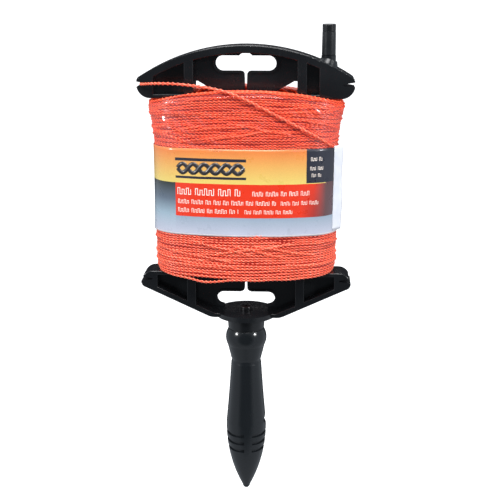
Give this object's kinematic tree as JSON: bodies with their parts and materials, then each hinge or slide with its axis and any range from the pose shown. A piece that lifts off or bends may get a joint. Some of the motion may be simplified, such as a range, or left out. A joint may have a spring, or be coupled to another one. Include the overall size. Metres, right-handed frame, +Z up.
{
  "type": "mason's line reel",
  "caption": "Hand-held reel of braided mason's line: slotted end plates on two posts, finger crank, and a swivel handle ending in a stake point.",
  "frame": {"origin": "tip of the stake point at the foot of the handle", "axes": "+Z up the handle's axis through the reel, X across the reel's width, front faces -Y"},
  "size_m": [0.125, 0.0551, 0.2886],
  "materials": {
    "frame_plastic": "semi-gloss moulded black",
    "crank_plastic": "semi-gloss moulded black",
    "handle_plastic": "gloss moulded black",
    "screw_steel": "black oxide",
    "bush_steel": "turned",
    "washer_plastic": "matte",
    "nylon_line": "braided nylon, slight sheen",
    "label_film": "printed gloss film"
  },
  "bodies": {
    "grip": {"handle": "handle_plastic", "pivot_screw": "screw_steel", "pivot_bush": "bush_steel", "thrust_washer": "washer_plastic"},
    "reel": {"top_plate": "frame_plastic", "bottom_plate": "frame_plastic", "left_post": "frame_plastic", "right_post": "frame_plastic", "crank_pin": "crank_plastic", "line_winding": "nylon_line", "label_band": "label_film", "line_end": "nylon_line"},
    "crank": {"crank_sleeve": "crank_plastic"}
  },
  "joints": [
    {"name": "reel_spin", "type": "hinge", "parent": "grip", "child": "reel", "pos_m": [0, 0, 0.1078], "axis": [0, 0, 1], "continuous": true},
    {"name": "crank_spin", "type": "hinge", "parent": "reel", "child": "crank", "pos_m": [0.0472, 0, 0.278], "axis": [0, 0, 1], "continuous": true}
  ]
}
